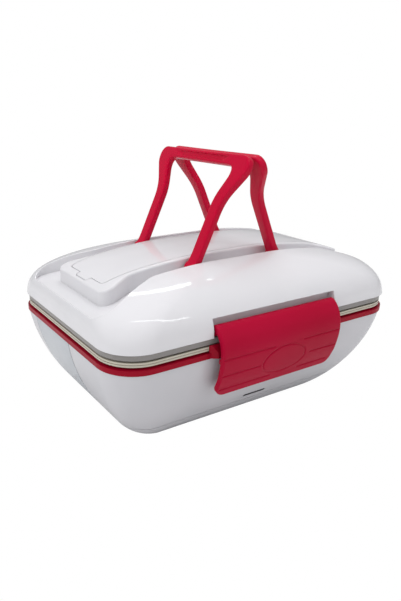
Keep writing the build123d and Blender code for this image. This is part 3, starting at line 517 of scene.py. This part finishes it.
def makeHandle(h, name, side, node):
    outer = roundedPath(h["outer"], h["outerRounding"])
    inner = roundedPath(h["inner"], h["innerRounding"])
    pairs = list(zip(outer, inner))
    pairs += [(Vector((-a.x, a.y)), Vector((-b.x, b.y))) for a, b in reversed(pairs[:-1])]
    half = h["thickness"] / 2
    r = h["edgeRound"]
    edgeSteps = [(r * (1 - math.cos(a)), r * (1 - math.sin(a))) for a in h["edgeTurns"]]
    lean = math.radians(h["lean"])
    up = Vector((-side * math.sin(lean), 0, math.cos(lean)))
    outward = Vector((side * math.cos(lean), 0, math.sin(lean)))
    pivot = Vector((side * h["pivot"][0], 0, h["pivot"][1]))
    shape = bmesh.new()
    rings = []
    for a, b in pairs:
        width = (b - a).length
        back = [(1 - e / width, -half + drop) for e, drop in edgeSteps]
        back += [(e / width, -half + drop) for e, drop in reversed(edgeSteps)]
        ring = []
        for share, lift in handleFront(h, a, width, edgeSteps) + back:
            flat = a.lerp(b, share)
            ring.append(shape.verts.new(pivot + Vector((0, flat.x, 0)) + up * flat.y + outward * lift))
        rings.append(ring)
    for p, q in zip(rings, rings[1:]):
        for j in range(len(p)):
            k = (j + 1) % len(p)
            shape.faces.new((p[j], p[k], q[k], q[j]))
    shape.faces.new(rings[0])
    shape.faces.new(list(reversed(rings[-1])))
    knuckleSpan = (h["inner"][0][0] + h["knuckleInset"], h["outer"][0][0] - h["knuckleInset"])
    for end in (-1, 1):
        ends = [pivot + Vector((0, end * y, 0)) for y in knuckleSpan]
        addTube(shape, ends[0], ends[1], *h["knuckle"])
    finishMesh(shape, name, made["redHandle"], node, node)


makeHandle(handle, "leftHandleSkin", -1, "handle_left")
makeHandle(handle, "rightHandleSkin", 1, "handle_right")
print("handles made")


# The floor and the world look white to the camera, and light the box more softly than that.
studio = {
    "floorHalf": 6,
    "floor": (0.8, 0.8, 0.8, 1),
    "floorGlow": (1, 1, 1, 1),
    "ambient": (0.4, 0.4, 0.41, 1),
    "backdrop": (1, 1, 1, 1),
}

floorMesh = bpy.data.meshes.new("floor")
half = studio["floorHalf"]
corners = [(-half, -half, 0), (half, -half, 0), (half, half, 0), (-half, half, 0)]
floorMesh.from_pydata(corners, [], [(0, 1, 2, 3)])
floor = bpy.data.objects.new("floor", floorMesh)
bpy.context.scene.collection.objects.link(floor)
floorMaterial = bpy.data.materials.new("floorPale")
floorMaterial.use_nodes = True
tree = floorMaterial.node_tree
tree.nodes.clear()
out = tree.nodes.new("ShaderNodeOutputMaterial")
diffuse = tree.nodes.new("ShaderNodeBsdfDiffuse")
diffuse.inputs[0].default_value = studio["floor"]
glow = tree.nodes.new("ShaderNodeEmission")
glow.inputs[0].default_value = studio["floorGlow"]
glow.inputs[1].default_value = 1.0
paths = tree.nodes.new("ShaderNodeLightPath")
blend = tree.nodes.new("ShaderNodeMixShader")
tree.links.new(paths.outputs["Is Camera Ray"], blend.inputs[0])
tree.links.new(diffuse.outputs[0], blend.inputs[1])
tree.links.new(glow.outputs[0], blend.inputs[2])
tree.links.new(blend.outputs[0], out.inputs[0])
floorMesh.materials.append(floorMaterial)

world = bpy.data.worlds.new("studio")
bpy.context.scene.world = world
world.use_nodes = True
background = world.node_tree.nodes["Background"]
background.inputs[1].default_value = 1.0
worldPaths = world.node_tree.nodes.new("ShaderNodeLightPath")
seen = world.node_tree.nodes.new("ShaderNodeMix")
seen.data_type = "RGBA"
seen.inputs[6].default_value = studio["ambient"]
seen.inputs[7].default_value = studio["backdrop"]
world.node_tree.links.new(worldPaths.outputs["Is Camera Ray"], seen.inputs[0])
world.node_tree.links.new(seen.outputs[2], background.inputs[0])
print("floor and world made")

# Each softbox: where it hangs, the way its long side runs, its size, its watts and whether gloss mirrors it.
lights = {
    "left": ((-1.3, -0.1, 0.9), (0, 1, 0), (1.4, 1.0), 8.5, False),
    "above": ((0.1, 0.1, 1.5), (1, 0, 0), (1.2, 1.2), 10.0, False),
    "front": ((0.6, -1.4, 0.7), (1, 0, 0), (1.2, 0.7), 3.0, False),
    "stripBehind": ((0.42, 0.5, 1.05), (-0.743, 0.669, 0), (0.75, 0.07), 1.2, True),
    "stripFront": ((0.12, -0.42, 0.98), (0.8, -0.7, -0.45), (1.2, 0.035), 0.9, True),
}


lightsTarget = Vector((0, 0, 0.08))


def softbox(name, place, run, size, power, mirrored):
    data = bpy.data.lights.new(name, "AREA")
    data.shape = "RECTANGLE"
    data.size, data.size_y = size
    data.energy = power
    back = (Vector(place) - lightsTarget).normalized()
    across = (Vector(run) - back * back.dot(Vector(run))).normalized()
    obj = bpy.data.objects.new(name, data)
    obj.visible_glossy = mirrored
    turned = Matrix((across, back.cross(across), back)).transposed().to_4x4()
    obj.matrix_world = Matrix.Translation(place) @ turned
    bpy.context.scene.collection.objects.link(obj)


for name, values in lights.items():
    softbox(name, *values)
print("light set")

bpy.context.scene.view_settings.view_transform = "Standard"
